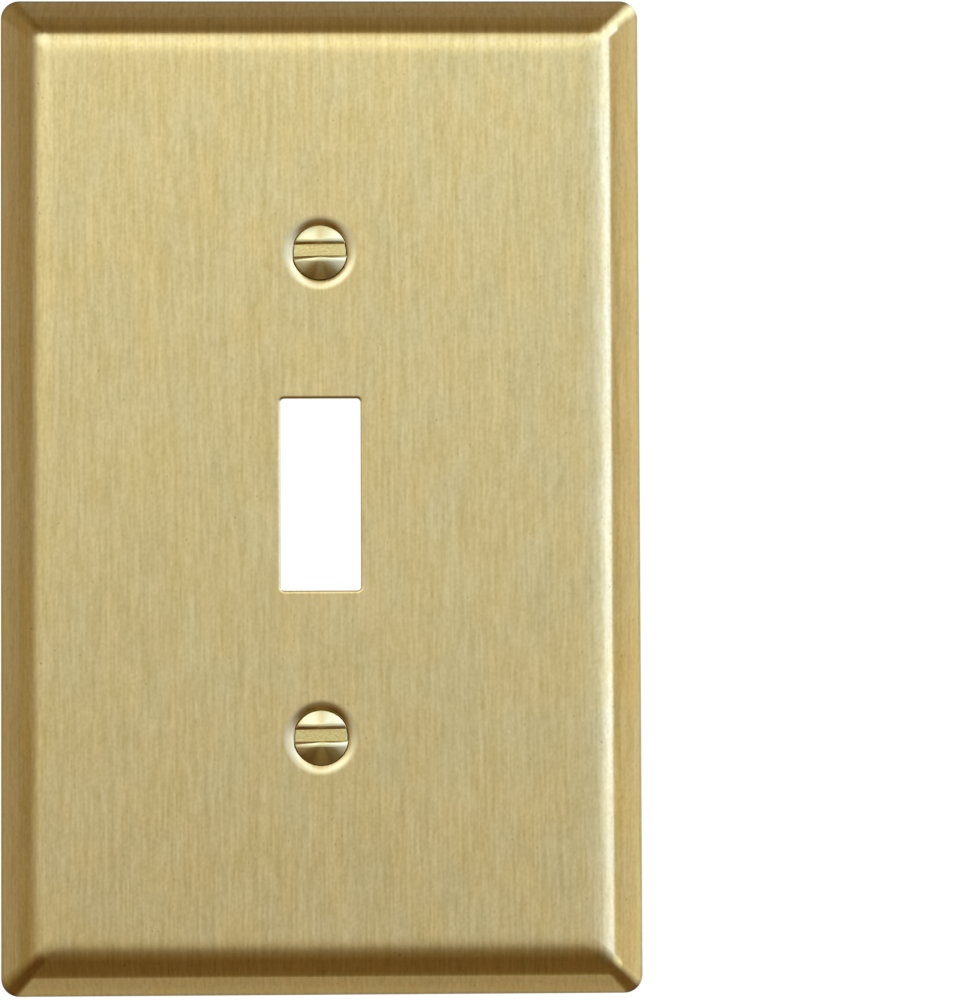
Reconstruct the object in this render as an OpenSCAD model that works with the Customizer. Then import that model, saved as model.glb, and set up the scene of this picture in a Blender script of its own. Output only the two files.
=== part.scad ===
// One-gang cover plate for a toggle wall switch: a stamped metal shell with a
// toggle opening and two pressed seats, held by two slotted oval-head screws.
// +Z is up, +X is to the right and the front faces -Y. The origin is the centre
// of the back rim, in the plane of the wall.

/* [Plate] */
// Width of the plate at its back rim
plate_w = 80.2; // [74:0.1:92]
// Height of the plate at its back rim
plate_h = 124.9; // [112:0.1:145]
// From the wall to the flat front face
plate_depth = 5.8; // [5.2:0.1:7]
// Thickness of the metal sheet
sheet = 0.8; // [0.6:0.05:1]
// Radius of the four corners in front view
corner_r = 2.3; // [1.6:0.1:4]
// Slope of the straight bevel beside the rim, from the face, in degrees
bevel_angle = 55; // [50:1:62]
// Outside radius of the tight bend above the bevel
bend_r = 4.6; // [3.6:0.1:5]
// Slope at which the tight bend eases into the slow roll of the face
roll_angle = 12; // [6:1:14]
// Radius of the slow roll that ends in the flat face
roll_r = 14; // [8:1:16]

/* [Toggle opening] */
// Width of the opening for the toggle
opening_w = 10; // [9.4:0.1:10.6]
// Height of the opening for the toggle
opening_h = 23.9; // [23.2:0.1:24.6]
// Radius of the corners of the opening
opening_r = 0.5; // [0.2:0.1:1.2]

/* [Screw seats] */
// Distance between the two screws, from centre to centre
screw_spacing = 60.325; // [60.3:0.005:60.35]
// Full angle of the screw heads and of their seats, in degrees
cone_angle = 82; // [80:1:90]
// Radius at which the curve from the face has reached the cone of the seat
seat_r = 2.85; // [2.75:0.05:3]
// Radius of the curve from the face into a seat
lip_r = 2.6; // [2.3:0.1:2.8]
// Diameter of the hole at the bottom of a seat
screw_hole_d = 4.4; // [4:0.1:4.8]

/* [Screws] */
// Diameter of the head
head_d = 6.75; // [6.4:0.05:6.9]
// Height of the domed top of the head
crown_h = 0.75; // [0.6:0.05:1.1]
// Length of a screw behind the edge of its head
screw_l = 12.7; // [12.7:3.175:19.05]
// Outside diameter of the thread
thread_d = 3.505; // [3.4:0.005:3.6]
// Diameter of the plain neck between the head and the thread
neck_d = 2.92; // [2.7:0.02:3]
// Width of the screwdriver slot
slot_w = 1.45; // [1.1:0.05:1.5]
// Depth of the screwdriver slot below the top of the head
slot_depth = 1; // [0.8:0.05:1.4]
// Distance from the axis of a screw to the middle of its slot
slot_shift = 0.3; // [0:0.05:0.4]
// Turn of the slots away from level, in degrees
slot_turn = 1; // [0:0.5:90]

/* [Hidden] */
$fn = 96;
overrun = 1;

// Rise and width of the slow roll, the tight bend and the bevel below it, and
// the width of all three, which ends where the face is flat
roll_rise = roll_r * (1 - cos(roll_angle));
bend_rise = bend_r * (cos(roll_angle) - cos(bevel_angle));
roll_w = roll_r * sin(roll_angle);
bend_w = bend_r * (sin(bevel_angle) - sin(roll_angle));
bevel_w = (plate_depth - bend_rise - roll_rise) / tan(bevel_angle);
edge_w = bevel_w + bend_w + roll_w;

// The seat, as radii and as depths below the face
half_cone = cone_angle / 2;
lip_turn = 90 - half_cone;
lip_outer_r = seat_r + lip_r * sin(lip_turn);
lip_drop = lip_r * (1 - cos(lip_turn));
screw_hole_r = screw_hole_d / 2;
seat_drop = lip_drop + (seat_r - screw_hole_r) / tan(half_cone);

// The screw, as depths below the face. It clears its seat by a hair all round.
seat_gap = 0.05;
head_edge_h = 0.12;
head_r = head_d / 2;
neck_r = neck_d / 2;
thread_r = thread_d / 2;
head_cone_top = lip_drop + (seat_r - head_r - seat_gap / cos(half_cone)) / tan(half_cone);
head_cone_bottom = head_cone_top + (head_r - neck_r) / tan(half_cone);
head_edge_top = head_cone_top - head_edge_h;
crown_r = (head_r * head_r + crown_h * crown_h) / (2 * crown_h);
thread_top = 3.2;
thread_ramp = 0.25;
tip_chamfer = 0.5;
screw_tip = head_cone_top + screw_l;

function arc(centre, radius, from, to, steps) =
    [for (i = [0:steps]) centre + radius * [cos(from + (to - from) * i / steps),
                                            sin(from + (to - from) * i / steps)]];

// Turns a shape drawn upwards, with the face at height 0, towards the front,
// and carries it to a screw position on the plate
module at_screw(side) {
    translate([0, -plate_depth, side * screw_spacing / 2]) rotate([90, 0, 0]) children();
}

// Section across one pair of edges, filled solid. It is set inwards by an even
// amount, so that one section taken out of another leaves a skin of sheet metal.
module pillow_section(width, inward) {
    half = width / 2;
    foot = half - inward / sin(bevel_angle);
    roll_centre = [half - edge_w, plate_depth - roll_r];
    bend_centre = roll_centre + (roll_r - bend_r) * [sin(roll_angle), cos(roll_angle)];
    right_side = concat(
        [[foot, 0]],
        arc(bend_centre, bend_r - inward, 90 - bevel_angle, 90 - roll_angle, 10),
        arc(roll_centre, roll_r - inward, 90 - roll_angle * 3 / 4, 90, 3));
    left_side = [for (i = [len(right_side) - 1:-1:0]) [-right_side[i][0], right_side[i][1]]];
    polygon(concat(right_side, left_side));
}

// The section, run along the two long edges
module edge_pair(width, length, inward) {
    mirror([0, 1, 0]) linear_extrude(length + 2 * overrun, center = true)
        pillow_section(width, inward);
}

// Solid pillow with four mitred corners
module pillow(inward) {
    intersection() {
        edge_pair(plate_w, plate_h, inward);
        rotate([0, 90, 0]) edge_pair(plate_h, plate_w, inward);
        rounded_bar(plate_w - 2 * inward, plate_h - 2 * inward, corner_r - inward,
                    -overrun, plate_depth + overrun);
    }
}

// Upright bar with rounded corners that runs between two distances from the wall
module rounded_bar(width, height, radius, back, front) {
    rotate([90, 0, 0]) translate([0, 0, back]) linear_extrude(front - back) union() {
        square([width - 2 * radius, height], center = true);
        square([width, height - 2 * radius], center = true);
        for (x = [-1, 1], y = [-1, 1])
            translate([x * (width / 2 - radius), y * (height / 2 - radius)]) circle(radius);
    }
}

// The pressed metal round one screw: the face curves over and runs down a cone
module seat() {
    skin = sheet * [cos(half_cone), -sin(half_cone)];
    rotate_extrude() polygon(concat(
        arc([lip_outer_r, -lip_r], lip_r, 90, 90 + lip_turn, 10),
        [[screw_hole_r, -seat_drop], [screw_hole_r, -seat_drop] + skin],
        arc([lip_outer_r, -lip_r], lip_r - sheet, 90 + lip_turn, 90, 10)));
}

module plate() {
    color("#c2b07c") {
        difference() {
            pillow(0);
            pillow(sheet);
            rounded_bar(opening_w, opening_h, opening_r, 0, plate_depth + overrun);
            for (side = [-1, 1])
                at_screw(side) cylinder(h = 2 * overrun, r = lip_outer_r, center = true);
        }
        for (side = [-1, 1]) at_screw(side) seat();
    }
}

module screw(side) {
    color("#e3d7a4") at_screw(side) difference() {
        rotate_extrude() polygon(concat(
            arc([0, crown_h - head_edge_top - crown_r], crown_r, 90, 90 - asin(head_r / crown_r), 12),
            [[head_r, -head_cone_top], [neck_r, -head_cone_bottom],
             [neck_r, -thread_top], [thread_r, -thread_top - thread_ramp],
             [thread_r, tip_chamfer - screw_tip], [thread_r - tip_chamfer, -screw_tip],
             [0, -screw_tip]]));
        rotate([0, 0, slot_turn])
            translate([-head_d, slot_shift - slot_w / 2, crown_h - head_edge_top - slot_depth])
                cube([2 * head_d, slot_w, 2 * slot_depth]);
    }
}

module upper_screw() {
    screw(1);
}

module lower_screw() {
    screw(-1);
}

plate();
upper_screw();
lower_screw();
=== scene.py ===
"""Looks for a toggle switch wall plate: a brushed brass plate and its two oval-head screws.

Lengths in this script are in millimetres until a mesh or a node needs metres. The frame is the CAD one:
+X is to the right, +Z is up, the front faces -Y and the origin is the centre of the back rim, in the plane
of the wall.
"""
import math

import bpy
from mathutils import Matrix, Vector
from mathutils.geometry import delaunay_2d_cdt


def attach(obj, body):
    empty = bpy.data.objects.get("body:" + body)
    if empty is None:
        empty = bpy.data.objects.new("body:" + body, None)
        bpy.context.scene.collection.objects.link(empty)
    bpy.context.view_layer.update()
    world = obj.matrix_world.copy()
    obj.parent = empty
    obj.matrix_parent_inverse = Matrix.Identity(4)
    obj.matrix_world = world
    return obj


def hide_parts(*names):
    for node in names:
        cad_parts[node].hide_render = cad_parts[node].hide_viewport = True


MM = 0.001
FRONT = Vector((0, -1, 0))

# Plate, as in the CAD
PLATE_W, PLATE_H, PLATE_DEPTH = 80.2, 124.9, 5.8
SHEET = 0.8
BEVEL = math.radians(55)
BEND_R = 4.6
ROLL = math.radians(12)
OPENING_W, OPENING_H, OPENING_R = 10.0, 23.9, 0.5
SCREW_Z = 60.325 / 2
HALF_CONE = math.radians(41)
SEAT_R, LIP_R, HOLE_R = 2.85, 2.6, 2.2
HEAD_R, NECK_R, THREAD_R = 3.375, 1.46, 1.7525
CROWN_H, SLOT_W, SLOT_DEPTH, SLOT_SHIFT = 0.75, 1.45, 1.0, 0.3
SLOT_TURN = math.radians(1)
LIP_TURN = math.pi / 2 - HALF_CONE
LIP_OUTER_R = SEAT_R + LIP_R * math.sin(LIP_TURN)
LIP_DROP = LIP_R * (1 - math.cos(LIP_TURN))
SEAT_GAP, HEAD_EDGE_H, SCREW_L = 0.05, 0.12, 12.7
CONE_TOP = LIP_DROP + (SEAT_R - HEAD_R - SEAT_GAP / math.cos(HALF_CONE)) / math.tan(HALF_CONE)
HEAD_TOP = CROWN_H - (CONE_TOP - HEAD_EDGE_H)
CONE_DROP = HEAD_TOP + CONE_TOP
SCREW_TIP = CONE_TOP + SCREW_L
THREAD_TOP, TIP_CHAMFER = 3.2, 0.5

# Finer than the CAD: how the pressed edges really run
CORNER_R, CORNER_TIGHTENS, SMALLEST_CORNER_R = 2.3, 0.17, 0.6
FOOT_R = 0.15
ROLL_START, ROLL_END = 5.45, 8.3
ROLL_POWER = 2.0
PUNCH_W, PUNCH_SLOPE, PUNCH_EDGE = 0.36, math.radians(25), 0.07
# Slope of the curve into a screw seat, in degrees, at radii from the face down to the cone
LIP = ((4.8, 0), (4.45, 6.5), (4.15, 11.5), (3.85, 16), (3.6, 20), (3.5, 22), (3.38, 34), (3.25, 45),
       (3.1, 49))
LIP_STEP = 0.07
# Inside this radius the seat is painted darker, as the shade of the head
UNDER_HEAD_R = 3.55

# Head of a screw: a low dome with a slot. Its crown curls over a little towards the slot.
DOME = math.radians(17)
EDGE_ROUND, EDGE_ROUND_DROP = 0.08, 0.6
SLOT_ROLL, SLOT_ROLL_W = math.radians(30), 0.7
SLOT_ROLL_DROP = SLOT_ROLL_W * SLOT_ROLL * 0.53
SLOT_EDGE = 0.08
# Thread: 32 turns to the inch, with a narrow flat crest and 60 degrees between its flanks
PITCH, CREST, ROOT_R = 0.79375, 0.125, 1.32
# Share of the way from the neck's radius to the thread's that the thread gains per millimetre
THREAD_RUN_IN = 1.6

# Points along the curves, and round a seat
ROLL_STEPS, BEND_STEPS, FOOT_STEPS = 18, 20, 8
PUNCH_STEPS, EDGE_STEPS = 8, 4
SEAT_POINTS = 96
# Flat areas: spacing of the points, their least distance from a hole, and the bulge of the plan's sides
GRID = 3.0
HOLE_CLEARANCE = GRID * 0.6
PLAN_BULGE = 1e-4
# Two normals meet at a sharp edge where the cosine between them is below this
SHARP_LIMIT = 0.9998

# Finishes, in the order of the materials: those of the plate, then those of a screw
# The seat finish under a head is darkened as painted shade of the head
BRUSHED, ROLLED, CUT, PAINTED_HEAD_SHADE = range(4)
# A head's side finish is darkened as painted shade in the crevice by its seat
POLISHED, SLOT_FLOOR, THREAD, HEAD_SIDE_SHADE = range(4)

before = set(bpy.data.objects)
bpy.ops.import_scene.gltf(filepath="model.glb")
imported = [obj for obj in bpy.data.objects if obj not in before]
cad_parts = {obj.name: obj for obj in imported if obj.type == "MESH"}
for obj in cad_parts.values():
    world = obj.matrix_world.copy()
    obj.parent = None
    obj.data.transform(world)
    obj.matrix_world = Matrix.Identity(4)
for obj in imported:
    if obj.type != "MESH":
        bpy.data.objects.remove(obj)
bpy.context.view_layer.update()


class Skin:
    """Collects vertices, faces and the normal at each corner of each face."""

    def __init__(self):
        self.points, self.faces, self.normals, self.finish = [], [], [], []

    def ring(self, points):
        start = len(self.points)
        self.points += [Vector(p) for p in points]
        return list(range(start, len(self.points)))

    def face(self, corners, normals, finish):
        kept = [(c, n) for k, (c, n) in enumerate(zip(corners, normals)) if c != corners[k - 1]]
        if len(kept) < 3:
            return
        corners, normals = [c for c, n in kept], [n for c, n in kept]
        if len(corners) == 4:
            across = self.points[corners[2]] - self.points[corners[0]]
            flat = across.cross(self.points[corners[3]] - self.points[corners[1]])
        else:
            a, b, c = (self.points[k] for k in corners[:3])
            flat = (b - a).cross(c - a)
        if flat.dot(sum(normals, Vector())) < 0:
            corners, normals = corners[::-1], normals[::-1]
        self.faces.append(corners)
        self.normals += normals
        self.finish.append(finish)

    def strip(self, ring_a, ring_b, normals_a, normals_b, finish, closed=True):
        """Joins two rings of as many points with a band of quads."""
        for k in range(len(ring_a) - (0 if closed else 1)):
            m = (k + 1) % len(ring_a)
            self.face([ring_a[k], ring_a[m], ring_b[m], ring_b[k]],
                      [normals_a[k], normals_a[m], normals_b[m], normals_b[k]], finish)

    def loft(self, rings, normals, finishes):
        """Joins each ring to the next, with one band for each finish."""
        for k, finish in enumerate(finishes):
            self.strip(rings[k], rings[k + 1], normals[k], normals[k + 1], finish)

    def fill(self, outer, holes, height, normal, finish):
        """Fills the flat area between an outer ring and its holes, all in the plane y = -height."""
        half_w = max(self.points[k].x for k in outer)
        half_h = max(self.points[k].z for k in outer)
        plan, owner, edges = [], [], []
        for loop in [outer] + holes:
            first = len(plan)
            # The outer sides bulge a hair in the plan, so that no triangle lies flat along them
            bulge = PLAN_BULGE if loop is outer else 0.0
            for k in loop:
                x, z = self.points[k].x, self.points[k].z
                plan.append(Vector((x * (1 + bulge * (1 - (z / half_h) ** 2)),
                                    z * (1 + bulge * (1 - (x / half_w) ** 2)))))
            owner += loop
            edges += [(first + k, first + (k + 1) % len(loop)) for k in range(len(loop))]
        inside = self.grid_spots(half_w, half_h, holes)
        plan += inside
        owner += [None] * len(inside)
        spots, _, triangles, sources, _, _ = delaunay_2d_cdt(plan, edges, [], 1, 1e-6, True)
        index = []
        for spot, source in zip(spots, sources):
            known = [owner[m] for m in source if owner[m] is not None]
            index.append(known[0] if known else self.ring([(spot.x, -height, spot.y)])[0])
        rims = [set(hole) for hole in holes]
        for triangle in triangles:
            corners = [index[k] for k in triangle]
            if not any(rim.issuperset(corners) for rim in rims):
                self.face(corners, [normal] * 3, finish)

    def grid_spots(self, half_w, half_h, holes):
        """Points of a staggered grid over a flat area, well inside its outline and clear of its holes."""
        spots = []
        steps_x, steps_z = int(half_w / GRID), int(half_h / GRID)
        for i in range(-steps_x, steps_x + 1):
            for j in range(-steps_z, steps_z + 1):
                spot = Vector(((i + 0.5 * (j % 2)) * GRID, j * GRID))
                inside = abs(spot.x) < half_w - GRID / 2 and abs(spot.y) < half_h - GRID / 2
                if inside and not any(self.near(spot, hole) for hole in holes):
                    spots.append(spot)
        return spots

    def near(self, spot, hole):
        """True where a point lies in a hole or close to its rim."""
        xs = [self.points[k].x for k in hole]
        zs = [self.points[k].z for k in hole]
        return (min(xs) - HOLE_CLEARANCE < spot.x < max(xs) + HOLE_CLEARANCE
                and min(zs) - HOLE_CLEARANCE < spot.y < max(zs) + HOLE_CLEARANCE)

    def sharpen(self, mesh, normals):
        """Marks as sharp each edge whose two faces have different normals there."""
        seen = {}
        for polygon in mesh.polygons:
            loops = list(polygon.loop_indices)
            for k, m in zip(loops, loops[1:] + loops[:1]):
                a, b = mesh.loops[k], mesh.loops[m]
                here = {a.vertex_index: normals[k], b.vertex_index: normals[m]}
                other = seen.setdefault(a.edge_index, here)
                if any(here[v].dot(other[v]) < SHARP_LIMIT for v in here):
                    mesh.edges[a.edge_index].use_edge_sharp = True

    def build(self, name, materials):
        mesh = bpy.data.meshes.new(name)
        mesh.from_pydata([p * MM for p in self.points], [], self.faces)
        for material in materials:
            mesh.materials.append(material)
        mesh.polygons.foreach_set("material_index", self.finish)
        mesh.polygons.foreach_set("use_smooth", [True] * len(self.faces))
        uv = mesh.uv_layers.new(name="plan")
        for loop in mesh.loops:
            co = mesh.vertices[loop.vertex_index].co
            uv.data[loop.index].uv = (co.x * 10 + 0.5 + co.y * 1e-3, co.z * 10 + 0.5)
        normals = [n.normalized() for n in self.normals]
        self.sharpen(mesh, normals)
        mesh.normals_split_custom_set(normals)
        mesh.update()
        piece = bpy.data.objects.new(name, mesh)
        bpy.context.scene.collection.objects.link(piece)
        return piece


def spaced(count):
    """Evenly spaced fractions from 0 to 1, both included."""
    return [k / count for k in range(count + 1)]


def rounded_ring(half_w, half_h, radius, per_side, per_corner, tightens=0.0):
    """Plan of a rounded rectangle: for each point its x and z, its outward direction, and how much a
    slope there is stretched along the mitre."""
    out = []
    corners = [(1, 1, 0), (-1, 1, 90), (-1, -1, 180), (1, -1, 270)]
    for k, (sx, sz, start) in enumerate(corners):
        centre = Vector((sx * (half_w - radius), sz * (half_h - radius)))
        for f in spaced(per_corner):
            a = math.radians(start + 90 * f)
            way = Vector((math.cos(a), math.sin(a)))
            out.append((centre + radius * way, way,
                        (1 - tightens) * (abs(way.x) + abs(way.y)) + tightens))
        nx, nz, _ = corners[(k + 1) % 4]
        following = Vector((nx * (half_w - radius), nz * (half_h - radius))) + radius * way
        last = out[-1][0]
        for f in spaced(per_side)[1:-1]:
            out.append((last.lerp(following, f), way, 1.0))
    return out


def solid_way(way, slope, stretch=1.0):
    """Normal of a surface that falls away along a plan direction at a slope."""
    return (Vector((way.x, 0, way.y)) * math.sin(slope) + FRONT * stretch * math.cos(slope)).normalized()


def edge_profile():
    """Section of the outer skin from the rim inwards, as (distance in from the rim, height, slope)."""
    rise = 0.0
    tail = [(ROLL_END, PLATE_DEPTH, 0.0)]
    for k in range(1, ROLL_STEPS + 1):
        f = k / ROLL_STEPS
        slope = ROLL * f ** ROLL_POWER
        middle = ROLL * ((k - 0.5) / ROLL_STEPS) ** ROLL_POWER
        rise += math.tan(middle) * (ROLL_END - ROLL_START) / ROLL_STEPS
        tail.append((ROLL_END - f * (ROLL_END - ROLL_START), PLATE_DEPTH - rise, slope))
    d, h, _ = tail[-1]
    centre = (d + BEND_R * math.sin(ROLL), h - BEND_R * math.cos(ROLL))
    for k in range(1, BEND_STEPS + 1):
        slope = ROLL + (BEVEL - ROLL) * k / BEND_STEPS
        tail.append((centre[0] - BEND_R * math.sin(slope), centre[1] + BEND_R * math.cos(slope), slope))
    d, h, _ = tail[-1]
    rim = d - h / math.tan(BEVEL)
    foot = (rim + FOOT_R / math.tan(BEVEL / 2), FOOT_R)
    for k in range(FOOT_STEPS + 1):
        slope = BEVEL + (math.pi - BEVEL) * k / FOOT_STEPS
        tail.append((foot[0] - FOOT_R * math.sin(slope), foot[1] + FOOT_R * math.cos(slope), slope))
    shift = min(p[0] for p in tail)
    return [(p[0] - shift, p[1], p[2]) for p in tail]


def lip_section():
    """Section of the curve from the face into a seat, as (radius, depth below the face, slope)."""
    out, depth = [(LIP[0][0], 0.0, 0.0)], 0.0
    for (r0, s0), (r1, s1) in zip(LIP, LIP[1:]):
        steps = max(1, round((r0 - r1) / LIP_STEP))
        for k in range(steps):
            depth += math.tan(math.radians(s0 + (s1 - s0) * (k + 0.5) / steps)) * (r0 - r1) / steps
            f = (k + 1) / steps
            out.append((r0 + (r1 - r0) * f, depth, math.radians(s0 + (s1 - s0) * f)))
    return out


def punch_section():
    """Section of the front edge of the toggle opening, as (distance outside it, height, slope)."""
    edge = PUNCH_EDGE * (1 - math.sin(PUNCH_SLOPE))
    out, height = [(edge + PUNCH_W, PLATE_DEPTH, 0.0)], PLATE_DEPTH
    for k in range(PUNCH_STEPS):
        height -= math.tan(PUNCH_SLOPE * (k + 0.5) / PUNCH_STEPS) * PUNCH_W / PUNCH_STEPS
        f = (k + 1) / PUNCH_STEPS
        out.append((edge + PUNCH_W * (1 - f), height, PUNCH_SLOPE * f))
    for k in range(1, EDGE_STEPS + 1):
        a = PUNCH_SLOPE + (math.pi / 2 - PUNCH_SLOPE) * k / EDGE_STEPS
        out.append((PUNCH_EDGE * (1 - math.sin(a)),
                    height - PUNCH_EDGE * (math.cos(PUNCH_SLOPE) - math.cos(a)), a))
    return out + [(0.0, PLATE_DEPTH - SHEET * f, math.pi / 2) for f in (0.6, 1.0)]


def outer_skin(skin, profile):
    """Front of the plate's edge, from the flat of the face round the rim. Returns its rings."""
    rings, normals = [], []
    for d, h, slope in profile:
        radius = CORNER_R - CORNER_TIGHTENS * d
        plan = rounded_ring(PLATE_W / 2 - d, PLATE_H / 2 - d, radius, 24, 14, CORNER_TIGHTENS)
        rings.append(skin.ring([(p.x, -h, p.y) for p, way, stretch in plan]))
        normals.append([solid_way(way, slope, stretch) for p, way, stretch in plan])
    skin.loft(rings, normals, [BRUSHED] * (len(rings) - 1))
    return rings


def inner_skin(skin, profile):
    """Back of the plate's edge, a sheet's thickness behind its front. Returns its rings."""
    bevel_end = max(k for k, (d, h, slope) in enumerate(profile) if abs(slope - BEVEL) < 1e-6)
    d, h, slope = profile[bevel_end]
    foot_h = h - SHEET * math.cos(BEVEL)
    section = [(d + SHEET * math.sin(s), h - SHEET * math.cos(s), s) for d, h, s in profile[:bevel_end]]
    section.append((d + SHEET * math.sin(BEVEL) - foot_h / math.tan(BEVEL), 0.0, BEVEL))
    rings, normals = [], []
    for d, h, slope in section:
        radius = max(CORNER_R - CORNER_TIGHTENS * d - SHEET * math.sin(slope), SMALLEST_CORNER_R)
        plan = rounded_ring(PLATE_W / 2 - d, PLATE_H / 2 - d, radius, 24, 14)
        rings.append(skin.ring([(p.x, -h, p.y) for p, way, stretch in plan]))
        normals.append([-solid_way(way, slope, stretch) for p, way, stretch in plan])
    skin.loft(rings, normals, [ROLLED] * (len(rings) - 1))
    return rings


def toggle_opening(skin):
    """Edge of the opening. Returns its front ring and its back ring."""
    rings, normals = [], []
    for out, h, slope in punch_section():
        plan = rounded_ring(OPENING_W / 2 + out, OPENING_H / 2 + out, OPENING_R + out, 20, 10)
        rings.append(skin.ring([(p.x, -h, p.y) for p, way, stretch in plan]))
        normals.append([solid_way(-way, slope) for p, way, stretch in plan])
    skin.loft(rings, normals, [BRUSHED if k < PUNCH_STEPS else CUT for k in range(len(rings) - 1)])
    return rings[0], rings[-1]


def seat_sections():
    """Sections of a seat's front, down to its hole, and of its back, up to the face's back."""
    lip = lip_section()
    r, depth, _ = lip[-1]
    cone = [(r + (HOLE_R - r) * f, depth + (r - HOLE_R) * f / math.tan(HALF_CONE), LIP_TURN)
            for f in (0.33, 0.67, 1)]
    cone_back = [(r + SHEET * math.cos(HALF_CONE), depth + SHEET * math.sin(HALF_CONE), a)
                 for r, depth, a in cone[::-1]]
    inside_r = LIP_R - SHEET
    lip_back = [(LIP_OUTER_R - inside_r * math.sin(a), SHEET + inside_r * (1 - math.cos(a)), a)
                for a in [LIP_TURN * f for f in spaced(12)][::-1]]
    return lip + cone, cone_back + lip_back


def screw_seat(skin, side):
    """Pressed seat round one screw. Returns its front ring and its back ring."""
    turns = [2 * math.pi * k / SEAT_POINTS for k in range(SEAT_POINTS)]
    inward = [Vector((-math.cos(t), -math.sin(t))) for t in turns]

    def half(sections, sign):
        rings = [skin.ring([(r * math.cos(t), depth - PLATE_DEPTH, side * SCREW_Z + r * math.sin(t))
                            for t in turns]) for r, depth, a in sections]
        return rings, [[sign * solid_way(way, a) for way in inward] for r, depth, a in sections]

    front, back = seat_sections()
    front_rings, front_normals = half(front, 1)
    back_rings, back_normals = half(back, -1)
    # Close to the head the seat takes the darker finish, painted shade of the head
    finishes = [BRUSHED if r > UNDER_HEAD_R else PAINTED_HEAD_SHADE for r, depth, a in front[:-1]]
    skin.loft(front_rings, front_normals, finishes)
    edge = [solid_way(way, LIP_TURN + math.pi / 2) for way in inward]
    skin.strip(front_rings[-1], back_rings[0], edge, edge, CUT)
    skin.loft(back_rings, back_normals, [ROLLED] * (len(back) - 1))
    return front_rings[0], back_rings[-1]


def plate_mesh(finishes):
    skin = Skin()
    profile = edge_profile()
    outer, inner = outer_skin(skin, profile), inner_skin(skin, profile)
    rim_normals = [-FRONT] * len(outer[-1])
    skin.strip(outer[-1], inner[-1], rim_normals, rim_normals, CUT)
    holes = [toggle_opening(skin)] + [screw_seat(skin, side) for side in (1, -1)]
    skin.fill(outer[0], [front for front, back in holes], PLATE_DEPTH, FRONT, BRUSHED)
    skin.fill(inner[0], [back for front, back in holes], PLATE_DEPTH - SHEET, -FRONT, ROLLED)
    return skin.build("plate_skin", finishes)


# ---------------------------------------------------------------- screws

def turned(u, v):
    """Direction of a point u along the slot and v across it."""
    return Vector((u * math.cos(SLOT_TURN) - v * math.sin(SLOT_TURN), 0,
                   u * math.sin(SLOT_TURN) + v * math.cos(SLOT_TURN)))


def dome_drop(r):
    """Height of the dome below its crown, and its slope, at a distance from the axis."""
    share = min(r, HEAD_R) / HEAD_R
    slope = DOME * math.sqrt(share)
    drop = HEAD_R * (DOME * share ** 1.5 / 1.5 + DOME ** 3 * share ** 2.5 / 7.5)
    over = max(0.0, r - (HEAD_R - EDGE_ROUND)) / EDGE_ROUND
    if over > 0:
        slope = math.asin(min(1.0, math.sin(slope) + (1 - math.sin(slope)) * over))
        drop += EDGE_ROUND * EDGE_ROUND_DROP * over ** 2
    return drop, slope


def head_columns():
    """Lines of points along the slot, as (distance from the axis, kind, share of that kind)."""
    def half(wall_v):
        top_v = wall_v + SLOT_EDGE
        dome_v = top_v + SLOT_ROLL_W
        quarters = [math.sin(f * math.pi / 2) for f in spaced(24)]
        out = [(dome_v + (HEAD_R - dome_v) * f, "dome", 0.0) for f in quarters[::-1]]
        out += [(dome_v - SLOT_ROLL_W * f, "dome", f) for f in spaced(8)[1:]]
        out += [(top_v - SLOT_EDGE * math.sin(f * math.pi / 2), "edge", f) for f in spaced(5)[1:]]
        return out + [(wall_v, "wall", f) for f in (0.4, 1.0)]

    above = half(SLOT_W / 2 + SLOT_SHIFT)
    below = [(-v, kind, f) for v, kind, f in half(SLOT_W / 2 - SLOT_SHIFT)[::-1]]
    return above + [(SLOT_SHIFT, "floor", 0.0)] + below


def head_point(u, v, kind, share):
    """Depth below the crown, and the normal, at a point u along the slot and v across it."""
    toward_slot = turned(0, -1 if v > SLOT_SHIFT else 1)
    r = math.hypot(u, v)
    drop, slope = dome_drop(r)
    tilt = math.tan(slope) * (turned(u / r, v / r) if r > 1e-9 else Vector())
    if kind == "dome":
        normal = FRONT + tilt + toward_slot * math.tan(SLOT_ROLL * share)
        return drop + SLOT_ROLL_DROP * share ** 2, normal
    if kind == "edge":
        a = SLOT_ROLL + (math.pi / 2 - SLOT_ROLL) * share
        normal = (FRONT + tilt) * math.cos(a) + toward_slot * math.sin(a)
        return drop + SLOT_ROLL_DROP + SLOT_EDGE * (1 - math.cos(share * math.pi / 2)), normal
    if kind == "wall":
        top = drop + SLOT_ROLL_DROP + SLOT_EDGE
        return top + (SLOT_DEPTH - top) * share, toward_slot
    return SLOT_DEPTH, FRONT


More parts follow.
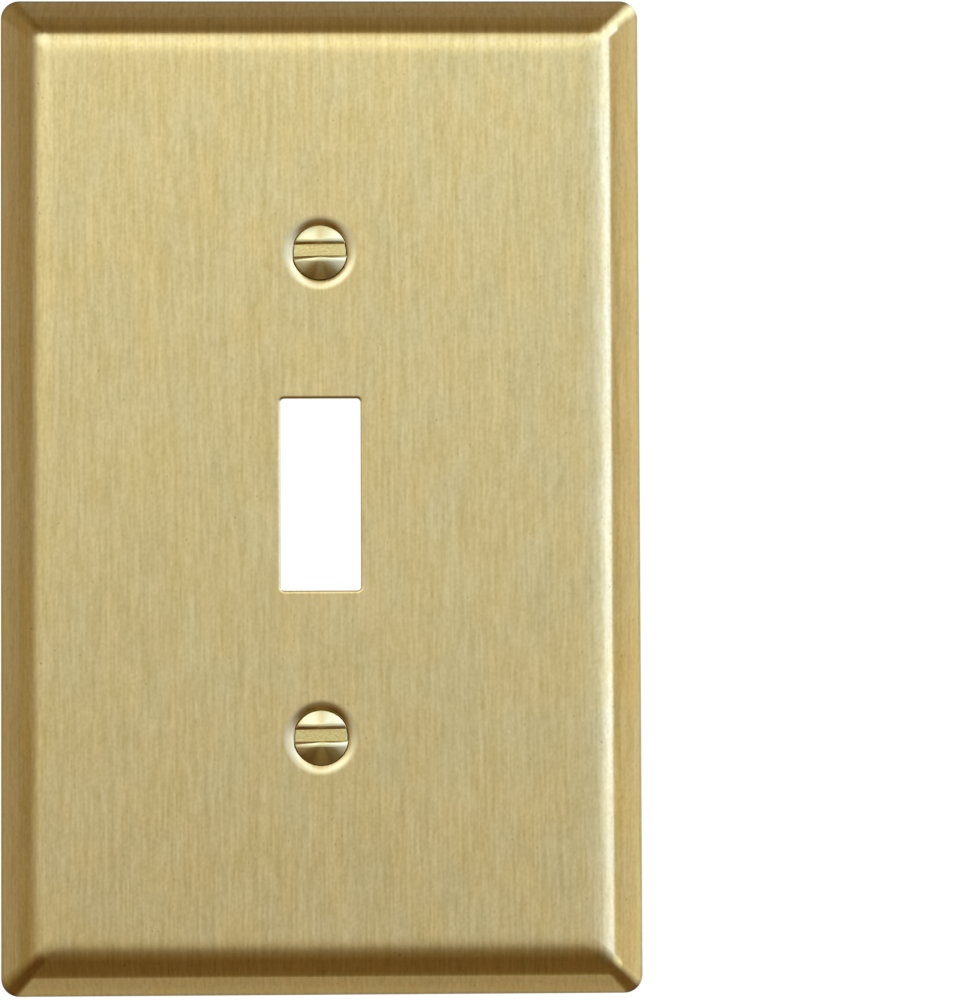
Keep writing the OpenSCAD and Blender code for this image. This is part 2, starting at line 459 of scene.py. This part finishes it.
def screw_head(skin, axis_z):
    """Top of a head. Returns the points round its rim and the angle of each about the axis."""
    columns = head_columns()
    kinds = [kind for v, kind, share in columns]
    rows, row_normals = [], []
    for v, kind, share in columns:
        depth = {"wall": SLOT_DEPTH * share, "floor": SLOT_DEPTH}.get(kind, 0.0)
        edge_r = HEAD_R - max(0.0, depth - CONE_DROP) * math.tan(HALF_CONE)
        half_u = math.sqrt(max(edge_r ** 2 - v ** 2, 0.0))
        points, normals = [], []
        for f in spaced(48):
            u = math.sin((f - 0.5) * math.pi) * half_u
            drop, normal = head_point(u, v, kind, share)
            x, _, z = turned(u, v)
            points.append((x, min(drop, SLOT_DEPTH) - PLATE_DEPTH - HEAD_TOP, axis_z + z))
            normals.append(normal.normalized())
        rows.append(skin.ring(points[:1]) * len(points) if half_u < 1e-6 else skin.ring(points))
        row_normals.append(normals)
    for k in range(len(rows) - 1):
        first, second, pair = row_normals[k], row_normals[k + 1], kinds[k:k + 2]
        if pair == ["wall", "floor"]:
            first = second
        elif pair == ["floor", "wall"]:
            second = first
        finish = SLOT_FLOOR if "floor" in pair else POLISHED
        skin.strip(rows[k], rows[k + 1], first, second, finish, closed=False)

    rim = [row[-1] for row in rows] + [row[0] for row in rows[::-1]][1:-1]
    in_slot = [kind in ("wall", "floor") for kind in kinds + kinds[::-1][1:-1]]
    kept = [n for n, k in enumerate(rim) if k != rim[n - 1]]
    rim, in_slot = [rim[n] for n in kept], [in_slot[n] for n in kept]
    ways = [Vector((skin.points[k].x, skin.points[k].z - axis_z)).normalized() for k in rim]
    # The points at the two ends of the slot spread out evenly below it
    start = 0
    while True in in_slot[start:]:
        first = in_slot.index(True, start)
        start = in_slot.index(False, first)
        for n in range(first, start):
            ways[n] = ways[first - 1].lerp(ways[start], (n - first + 1) / (start - first + 1))
    return rim, [math.atan2(way.y, way.x) for way in ways]


def screw_cone(skin, axis_z, rim, angles):
    """Cone behind a head. Returns its last ring, at the neck."""
    neck_drop = CONE_DROP + (HEAD_R - NECK_R) / math.tan(HALF_CONE)
    rings = [rim]
    for f in (0.25, 0.5, 0.75, 1.0):
        points = []
        for k, a in zip(rim, angles):
            p = skin.points[k]
            start = max(p.y + PLATE_DEPTH + HEAD_TOP, 0)
            drop = start + (neck_drop - start) * f
            r = min(math.hypot(p.x, p.z - axis_z), NECK_R + (neck_drop - drop) * math.tan(HALF_CONE))
            points.append((r * math.cos(a), drop - PLATE_DEPTH - HEAD_TOP, axis_z + r * math.sin(a)))
        rings.append(skin.ring(points))
    normals = [solid_way(Vector((math.cos(a), math.sin(a))), math.pi / 2 + HALF_CONE) for a in angles]
    # The cone under the head takes the darker finish, painted shade in the crevice by the seat
    skin.loft(rings, [normals] * len(rings), [HEAD_SIDE_SHADE] * (len(rings) - 1))
    return rings[-1]


def thread_radius(depth, angle):
    """Radius of the thread at a depth below the face, on a right-hand helix that runs in and out."""
    flank = (THREAD_R - ROOT_R) * math.tan(math.radians(30)) / PITCH
    off_crest = abs((depth / PITCH - angle / (2 * math.pi)) % 1.0 - 0.5)
    r = THREAD_R - (THREAD_R - ROOT_R) * min(1.0, max(0.0, (off_crest - CREST / 2) / flank))
    run_in = NECK_R + (depth - THREAD_TOP) * THREAD_RUN_IN * (THREAD_R - NECK_R)
    run_out = THREAD_R - TIP_CHAMFER + (SCREW_TIP - depth)
    return min(r, run_in, run_out)


def screw_thread(skin, axis_z, neck, angles):
    """Neck, thread and tip, in rings round the axis whose radius follows the helix."""
    rings = [neck]
    for f in spaced(int((SCREW_TIP - THREAD_TOP) / PITCH * 16)):
        depth = THREAD_TOP + (SCREW_TIP - THREAD_TOP) * f
        radii = [thread_radius(depth, a) if f > 0 else NECK_R for a in angles]
        rings.append(skin.ring([(r * math.cos(a), depth - PLATE_DEPTH, axis_z + r * math.sin(a))
                                for r, a in zip(radii, angles)]))
    for upper, lower in zip(rings, rings[1:]):
        for m in range(len(upper)):
            n = (m + 1) % len(upper)
            corners = [upper[m], upper[n], lower[n], lower[m]]
            a, b, c, d = (skin.points[k] for k in corners)
            middle = (a + b + c + d) / 4
            normal = (c - a).cross(d - b)
            if normal.dot(Vector((middle.x, 0, middle.z - axis_z))) < 0:
                normal = -normal
            skin.face(corners, [normal] * 4, THREAD)
    tip = skin.ring([(0, SCREW_TIP - PLATE_DEPTH, axis_z)])[0]
    last = rings[-1]
    for m in range(len(last)):
        skin.face([last[m], last[(m + 1) % len(last)], tip], [-FRONT] * 3, THREAD)


def screw_mesh(name, side, finishes):
    """Oval head with a slot, a plain neck and a right-hand thread."""
    skin = Skin()
    axis_z = side * SCREW_Z
    rim, angles = screw_head(skin, axis_z)
    neck = screw_cone(skin, axis_z, rim, angles)
    screw_thread(skin, axis_z, neck, angles)
    return skin.build(name, finishes)


# ---------------------------------------------------------------- materials

class Nodes:
    """A small helper for writing node trees."""

    def __init__(self, tree):
        self.tree = tree
        tree.nodes.clear()

    def add(self, kind, inputs=None, **settings):
        node = self.tree.nodes.new(kind)
        for key, value in settings.items():
            setattr(node, key, value)
        for key, value in (inputs or {}).items():
            self.put(node.inputs[key], value)
        return node

    def put(self, socket, value):
        if isinstance(value, bpy.types.NodeSocket):
            self.tree.links.new(value, socket)
        else:
            socket.default_value = value

    def math(self, operation, a, b=0.0, clamp=False):
        node = self.add("ShaderNodeMath", {0: a, 1: b}, operation=operation, use_clamp=clamp)
        return node.outputs[0]

    def scale(self, vector, factors):
        node = self.add("ShaderNodeVectorMath", {0: vector, 1: factors}, operation="MULTIPLY")
        return node.outputs[0]

    def noise(self, vector, scale=1.0, detail=0.0, roughness=0.5):
        node = self.add("ShaderNodeTexNoise", {"Vector": vector, "Scale": scale, "Detail": detail,
                                               "Roughness": roughness})
        return node.outputs["Fac"]

    def spread(self, value, low, high, to_low, to_high, smooth=False):
        node = self.add("ShaderNodeMapRange", {0: value, 1: low, 2: high, 3: to_low, 4: to_high},
                        interpolation_type="SMOOTHSTEP" if smooth else "LINEAR")
        return node.outputs[0]

    def swing(self, noise, amount):
        """A noise's swing either side of its middle."""
        return self.math("MULTIPLY", self.math("SUBTRACT", noise, 0.5), amount)

    def triple(self, a, b, c):
        return self.add("ShaderNodeCombineXYZ", {0: a, 1: b, 2: c}).outputs[0]

    def finish(self, shader, kind="ShaderNodeOutputMaterial"):
        """Joins a shader to the tree's output."""
        self.put(self.add(kind).inputs[0], shader.outputs[0])

    def mix(self, factor, a, b, blend="MIX"):
        node = self.add("ShaderNodeMix", data_type="RGBA", blend_type=blend)
        self.put(node.inputs[0], factor)
        self.put(node.inputs[6], a)
        self.put(node.inputs[7], b)
        return node.outputs[2]


def rgba(colour):
    return (*colour, 1.0)


def new_material(name):
    material = bpy.data.materials.new(name)
    material.use_nodes = True
    return material, Nodes(material.node_tree)


def brushed_brass():
    """Front of the plate, brushed up and down. Noises take metres times the numbers in their scales."""
    material, n = new_material("brushed_brass_look")
    place = n.add("ShaderNodeTexCoord").outputs["Object"]
    fine = n.noise(n.scale(place, (2750, 600, 620)))
    short = n.noise(n.scale(place, (2900, 800, 2100)))
    long = n.noise(n.scale(place, (2650, 300, 120)))
    streaks = n.math("ADD", n.swing(fine, 0.27), n.swing(short, 0.25))
    streaks = n.math("ADD", streaks, n.swing(long, 0.36))
    broad = n.noise(n.scale(place, (420, 200, 60)), detail=2.0)
    cloud = n.noise(n.scale(place, (160, 160, 110)), detail=2.0)
    tint = n.noise(n.scale(place, (210, 210, 120)), detail=1.0)
    specks = n.spread(n.noise(n.scale(place, (2600, 2600, 1900))), 0.80, 0.86, 0.0, 0.3)
    across, back, up = n.add("ShaderNodeSeparateXYZ", {0: place}).outputs
    height = n.math("MULTIPLY", back, -1.0 / MM)
    # Painted reflection: brighter towards the rim, as if the lower bevel caught the white behind the plate
    level = n.math("ADD", n.spread(height, 0.6, 2.8, 1.16, 1.0, smooth=True),
                   n.math("MULTIPLY", streaks, 0.62))
    level = n.math("ADD", level, n.swing(broad, 0.05))
    level = n.math("ADD", level, n.swing(cloud, 0.03))
    level = n.math("SUBTRACT", level, specks)
    # The streaks are a little warmer where they are dark, so blue and green follow them more than red
    green = n.math("ADD", level, n.math("MULTIPLY", streaks, 0.05))
    blue = n.math("ADD", level, n.math("MULTIPLY", streaks, 0.42))
    shade = n.triple(level, green, blue)
    warm = n.mix(n.spread(tint, 0.35, 0.65, 0.0, 1.0),
                 rgba((0.890, 0.707, 0.323)), rgba((0.908, 0.695, 0.290)))
    # Darker and greyer in a thin band along the rim
    rim_band = n.mix(n.spread(height, 0.45, 0.85, 1.0, 0.0, smooth=True),
                 rgba((1, 1, 1)), rgba((0.76, 0.84, 1.0)))
    colour = n.mix(1.0, n.mix(1.0, warm, shade, "MULTIPLY"), rim_band, "MULTIPLY")
    # Painted highlight: a brighter ring on the curve into each seat, where the lip catches the light
    off_screw = n.math("SUBTRACT", n.math("ABSOLUTE", up), SCREW_Z * MM)
    squares = n.math("ADD", n.math("MULTIPLY", across, across), n.math("MULTIPLY", off_screw, off_screw))
    apart = n.math("DIVIDE", n.math("SQRT", squares), MM)
    ring = n.math("MULTIPLY", n.spread(apart, 3.7, 4.05, 0.0, 0.75, smooth=True),
                  n.spread(apart, 4.3, 4.8, 1.0, 0.0, smooth=True))
    colour = n.mix(ring, colour, rgba((0.99, 0.84, 0.46)))
    rough = n.math("ADD", 0.17, n.swing(long, 0.05))
    bump = n.add("ShaderNodeBump", {"Height": streaks, "Strength": 0.14, "Distance": 0.00002})
    tangent = n.add("ShaderNodeTangent", direction_type="UV_MAP", uv_map="plan")
    shader = n.add("ShaderNodeBsdfPrincipled", {
        "Base Color": colour, "Metallic": 1.0, "Roughness": rough, "Anisotropic": 0.5,
        "Normal": bump.outputs[0], "Tangent": tangent.outputs[0]})
    n.finish(shader)
    return material


def plain_brass(name, colour, roughness, grain, bumpiness, scale=900):
    """Brass of one colour with a fine grain of a given strength."""
    material, n = new_material(name)
    place = n.add("ShaderNodeTexCoord").outputs["Object"]
    grain_noise = n.noise(n.scale(place, (scale, scale, scale)), detail=3.0, roughness=0.6)
    cloud = n.noise(n.scale(place, (140, 140, 140)), detail=2.0)
    level = n.math("ADD", 1.0, n.swing(grain_noise, grain))
    level = n.math("ADD", level, n.swing(cloud, grain))
    tinted = n.mix(1.0, rgba(colour), n.triple(level, level, level), "MULTIPLY")
    rough = n.math("ADD", roughness, n.swing(cloud, roughness * 0.3))
    bump = n.add("ShaderNodeBump", {"Height": grain_noise, "Strength": bumpiness, "Distance": 0.00003})
    shader = n.add("ShaderNodeBsdfPrincipled", {
        "Base Color": tinted, "Metallic": 1.0, "Roughness": rough, "Normal": bump.outputs[0]})
    n.finish(shader)
    return material


# ---------------------------------------------------------------- light

TONES = {
    "soot": (.10, .05, .015), "umber": (.135, .085, .033), "brown": (.18, .13, .065),
    "tan": (.26, .20, .12), "buff": (.32, .27, .19), "dusk": (.44, .42, .40), "grey": (.52, .53, .57),
    "room": (.55, .55, .55), "beige": (.58, .54, .44), "face": (.60, .63, .68), "lit": (.64, .63, .60),
    "pale": (.75, .82, .92), "bright": (1.02, 1.12, 1.22), "cool": (1.05, 1.30, 2.0),
    "window": (1.15, 1.45, 2.5), "glow": (1.18, 1.32, 1.65)}

# Where the light comes from. Each row is a direction round the front axis, in degrees from +X towards +Z,
# and the tone at each angle away from that axis. This isn't a plain studio: a separate program worked the
# first tones back from the shine of the pictured plate, and they were then rounded and adjusted by hand.
RIGHT = ((0, "face"), (12, (.63, .70, .86)), (28, (.77, .90, 1.25)), (42, (1.02, 1.24, 1.85)),
         (52, "window"), (65, "window"), (68.5, (.48, .43, .31)), (88, (.52, .47, .36)),
         (105, "beige"), (116, "lit"))
BELOW = ((0, "face"), (5, "grey"), (11, "dusk"), (16, (.27, .24, .205)), (21, (.215, .175, .12)),
         (26, (.190, .143, .074)), (32, (.176, .123, .06)), (43, (.145, .092, .037)),
         (80, (.150, .097, .040)), (98, (.165, .112, .05)), (104, (.185, .135, .068)),
         (109, (.24, .19, .12)), (113, (.34, .29, .21)), (118, (.40, .35, .30)))
LIGHT = (
    (0, RIGHT),
    (11, RIGHT),
    (22, ((0, "face"), (12, (.68, .78, 1.0)), (28, (.85, 1.0, 1.45)), (42, "window"), (95, "window"),
          (102, "beige"), (116, "lit"))),
    (45, ((0, "face"), (10, (.68, .76, .92)), (20, "pale"), (27, "bright"), (32, (1.25, 1.5, 2.2)),
          (124, (1.3, 1.5, 1.9)), (130, "lit"))),
    (67, ((0, "face"), (12, "pale"), (20, "bright"), (26, "cool"), (38, "bright"), (44, "tan"),
          (110, "tan"))),
    (90, ((0, "face"), (6, (.69, .73, .78)), (9, (.80, .86, .92)), (12, (.91, .98, 1.03)),
          (15, (1.05, 1.13, 1.18)), (18, (1.08, 1.16, 1.21)), (22, (1.02, 1.08, 1.11)),
          (28, (.90, .93, .92)), (33, (.86, .87, .83)), (42, (.73, .72, .64)), (47, "tan"),
          (62, "brown"), (84, (.215, .165, .098)), (117, (.225, .178, .123)))),
    (112, ((0, "face"), (9, (.73, .77, .82)), (18, (.92, 1.0, 1.1)), (22, "glow"), (36, "glow"),
           (43, "brown"), (60, "umber"), (112, "brown"))),
    (135, ((0, "face"), (10, (.70, .75, .80)), (17, (1.08, 1.18, 1.35)), (22, "glow"), (36, "glow"),
           (44, "tan"), (110, "tan"))),
    (158, ((0, "face"), (10, (.66, .70, .75)), (18, (.86, .90, .94)), (32, (.86, .90, .92)),
           (41, "grey"), (52, "tan"), (110, "tan"))),
    (180, ((0, "face"), (34, (.60, .61, .63)), (44, "dusk"), (60, "buff"), (112, "buff"),
           (117, (.37, .32, .26)))),
    (202, ((0, "face"), (8, "grey"), (26, "grey"), (34, "buff"), (50, "tan"), (110, "tan"))),
    (225, ((0, "face"), (6, "grey"), (14, (.44, .41, .37)), (21, (.29, .24, .17)), (28, "brown"),
           (37, "soot"), (60, "soot"), (95, (.115, .065, .022)), (122, "umber"), (128, "brown"))),
    (247, ((0, "face"), (5, "grey"), (10, "dusk"), (15, (.25, .21, .15)), (21, (.16, .115, .06)),
           (27, (.115, .072, .03)), (34, (.10, .06, .024)), (112, "soot"), (120, "buff"))),
    (261, BELOW),
    (270, BELOW),
    (279, BELOW),
    (292, ((0, "face"), (7, "grey"), (12, (.36, .35, .34)), (17, (.24, .20, .14)),
           (22, (.15, .11, .06)), (28, (.125, .085, .04)), (36, (.11, .07, .03)), (60, "umber"),
           (114, "umber"), (120, "buff"))),
    (315, ((0, "face"), (12, "grey"), (19, (.33, .31, .28)), (27, (.19, .16, .11)),
           (40, (.17, .14, .10)), (60, "umber"), (113, "umber"), (120, "brown"))),
    (338, ((0, "face"), (16, (.54, .58, .77)), (54, (.56, .63, .9)), (66, "bright"), (90, "bright"),
           (104, "lit"))),
)
BEHIND = ((150, "room"), (180, "pale"))


def ramp(n, factor, stops):
    """A colour that changes with an angle in degrees from 0 to 180, in linear light."""
    stops = [(angle, TONES[c] if isinstance(c, str) else c) for angle, c in stops + BEHIND]
    top = max(max(c) for _, c in stops)
    node = n.add("ShaderNodeValToRGB", {0: n.math("DIVIDE", factor, 180.0)})
    elements = node.color_ramp.elements
    elements[1].position = 1.0
    elements[1].color = rgba([c / top for c in stops[-1][1]])
    elements[0].color = rgba([c / top for c in stops[0][1]])
    for angle, colour in stops[1:-1]:
        elements.new(angle / 180.0).color = rgba([c / top for c in colour])
    return n.scale(node.outputs[0], (top, top, top))


def studio_world():
    """Light that the brass reflects, fitted to the pictured plate. The camera sees plain white instead."""
    degree = math.pi / 180
    world = bpy.data.worlds.new("studio")
    world.use_nodes = True
    n = Nodes(world.node_tree)
    toward = n.add("ShaderNodeTexCoord").outputs["Generated"]
    split = n.add("ShaderNodeSeparateXYZ", {0: toward}).outputs
    off_axis = n.math("DIVIDE", n.math("ARCCOSINE", n.math("MULTIPLY", split[1], -1.0)), degree)
    round_axis = n.math("DIVIDE", n.math("ARCTAN2", split[2], split[0]), degree)
    total = None
    for k, (angle, stops) in enumerate(LIGHT):
        before = (angle - LIGHT[k - 1][0]) % 360
        after = (LIGHT[(k + 1) % len(LIGHT)][0] - angle) % 360
        apart = n.add("ShaderNodeMath", {0: n.math("SUBTRACT", round_axis, angle), 1: 180.0, 2: -180.0},
                      operation="WRAP").outputs[0]
        weight = n.math("MINIMUM", n.spread(apart, -before, 0.0, 0.0, 1.0),
                        n.spread(apart, 0.0, after, 1.0, 0.0))
        colour = n.scale(ramp(n, off_axis, stops), n.triple(weight, weight, weight))
        if total is None:
            total = colour
        else:
            total = n.add("ShaderNodeVectorMath", {0: total, 1: colour}, operation="ADD").outputs[0]
    lit = n.add("ShaderNodeBackground", {"Color": total, "Strength": 1.0})
    white = n.add("ShaderNodeBackground", {"Color": rgba((1, 1, 1)), "Strength": 1.0})
    seen = n.add("ShaderNodeLightPath").outputs["Is Camera Ray"]
    both = n.add("ShaderNodeMixShader", {0: seen, 1: lit.outputs[0], 2: white.outputs[0]})
    n.finish(both, "ShaderNodeOutputWorld")
    bpy.context.scene.world = world


def make_camera():
    """Camera of the main view, a little to the right of the plate's middle and below it."""
    data = bpy.data.cameras.new("camera")
    data.sensor_fit = "AUTO"
    data.sensor_width = 36.0
    data.lens = 143.2
    data.clip_start, data.clip_end = 0.01, 50.0
    camera = bpy.data.objects.new("camera", data)
    eye = Vector((6.1, -500, -17.2)) * MM
    turn, lift, roll = math.radians(1.611), math.radians(1.905), math.radians(-0.253)
    ahead = Vector((math.sin(turn) * math.cos(lift), math.cos(turn) * math.cos(lift), math.sin(lift)))
    right = ahead.cross(Vector((0, 0, 1))).normalized()
    up = right.cross(ahead)
    right_rolled = right * math.cos(roll) + up * math.sin(roll)
    up_rolled = right_rolled.cross(ahead)
    basis = Matrix((right_rolled, up_rolled, -ahead)).transposed()
    camera.matrix_world = Matrix.Translation(eye) @ basis.to_4x4()
    bpy.context.scene.collection.objects.link(camera)
    bpy.context.scene.camera = camera


def make_floor():
    """Pale floor well below the plate. It doesn't show in the brass, where the light is the world's."""
    mesh = bpy.data.meshes.new("floor")
    count, radius, low = 96, 1.6, -0.2
    turns = [2 * math.pi * k / count for k in range(count)]
    points = [(radius * math.cos(t), radius * math.sin(t), low) for t in turns]
    mesh.from_pydata(points, [], [list(range(count))])
    floor = bpy.data.objects.new("floor", mesh)
    bpy.context.scene.collection.objects.link(floor)
    material, n = new_material("pale_floor")
    place = n.add("ShaderNodeTexCoord").outputs["Object"]
    away = n.add("ShaderNodeVectorMath", {0: place}, operation="LENGTH").outputs["Value"]
    fade = n.spread(away, 0.5, 1.5, 0.0, 1.0, smooth=True)
    matt = n.add("ShaderNodeBsdfDiffuse", {"Color": rgba((0.85, 0.85, 0.84))})
    glow = n.add("ShaderNodeEmission", {"Color": rgba((1, 1, 1)), "Strength": 1.0})
    both = n.add("ShaderNodeMixShader", {0: fade, 1: matt.outputs[0], 2: glow.outputs[0]})
    n.finish(both)
    mesh.materials.append(material)
    floor.visible_glossy = False
    floor.visible_diffuse = False


def plate_finishes():
    return [brushed_brass(),
            plain_brass("rolled_brass_look", (0.80, 0.62, 0.30), 0.34, 0.10, 0.10),
            plain_brass("cut_brass_look", (0.88, 0.72, 0.38), 0.22, 0.12, 0.15),
            # The seat's darker colour is painted shade of the head
            plain_brass("seat_painted_shade_look", (0.50, 0.42, 0.22), 0.25, 0.12, 0.10)]


def screw_finishes():
    return [plain_brass("polished_brass_look", (0.92, 0.79, 0.41), 0.09, 0.05, 0.30, 1300),
            plain_brass("slot_brass_look", (1.0, 0.79, 0.31), 0.20, 0.42, 0.9, 2600),
            plain_brass("thread_brass_look", (0.86, 0.70, 0.36), 0.25, 0.10, 0.10),
            # Darkened as painted shade in the crevice between head and seat
            plain_brass("head_side_painted_shade_look", (0.46, 0.39, 0.20), 0.30, 0.12, 0.10)]


make_camera()
studio_world()
make_floor()
bpy.context.scene.view_settings.view_transform = "Standard"

plate = plate_mesh(plate_finishes())
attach(plate, "plate")
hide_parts("plate")
finishes = screw_finishes()
for name, side in (("upper_screw", 1), ("lower_screw", -1)):
    piece = screw_mesh(name + "_turned", side, finishes)
    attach(piece, name)
    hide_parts(name)
